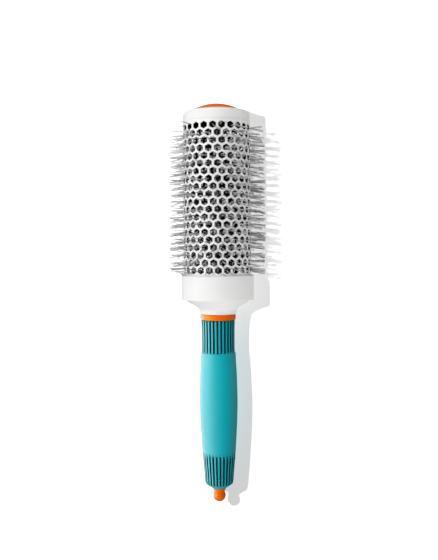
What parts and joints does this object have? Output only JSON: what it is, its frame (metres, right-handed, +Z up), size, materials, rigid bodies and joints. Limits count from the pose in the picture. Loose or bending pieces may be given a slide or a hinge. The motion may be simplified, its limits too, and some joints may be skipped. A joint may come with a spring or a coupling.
{
  "type": "round barrel brush",
  "caption": "Round blow-drying hair brush: vented ceramic-coated metal barrel with bristles, white collar, soft ribbed grip and a pull-out sectioning pick.",
  "frame": {"origin": "bottom centre of the bounding box: on the surface that the brush lies on, halfway along it", "axes": "+X along the brush from the handle's ball end to the domed barrel end; +Z up from the surface that the bristle tips rest on"},
  "size_m": [0.264, 0.0648, 0.0649],
  "materials": {
    "barrel_coat": "satin",
    "white_plastic": "satin",
    "orange_plastic": "gloss",
    "grip_rubber": "matte",
    "core_plastic": "matte",
    "ring_rubber": "matte",
    "bristle_nylon": "satin",
    "steel_wire": "satin"
  },
  "bodies": {
    "brush": {"accent_ring": "orange_plastic", "barrel_tube": "barrel_coat", "bristle_row_01": "bristle_nylon", "bristle_row_02": "bristle_nylon", "bristle_row_03": "bristle_nylon", "bristle_row_04": "bristle_nylon", "bristle_row_05": "bristle_nylon", "bristle_row_06": "bristle_nylon", "bristle_row_07": "bristle_nylon", "bristle_row_08": "bristle_nylon", "bristle_row_09": "bristle_nylon", "bristle_row_10": "bristle_nylon", "bristle_row_11": "bristle_nylon", "bristle_row_12": "bristle_nylon", "bristle_row_13": "bristle_nylon", "bristle_row_14": "bristle_nylon", "bristle_row_15": "bristle_nylon", "bristle_row_16": "bristle_nylon", "bristle_row_17": "bristle_nylon", "bristle_row_18": "bristle_nylon", "bristle_row_19": "bristle_nylon", "bristle_row_20": "bristle_nylon", "collar": "white_plastic", "end_cap": "white_plastic", "end_cap_dome": "orange_plastic", "grip_sleeve": "grip_rubber", "handle_core": "core_plastic", "pick_friction_ring": "ring_rubber", "pick_guide_bush": "core_plastic", "stem_wire_a": "steel_wire", "stem_wire_b": "steel_wire"},
    "pick": {"sectioning_pick": "orange_plastic"}
  },
  "joints": [
    {"name": "pick_slide", "type": "slide", "parent": "brush", "child": "pick", "axis": [-1, 0, 0], "range_m": [0, 0.055]}
  ]
}
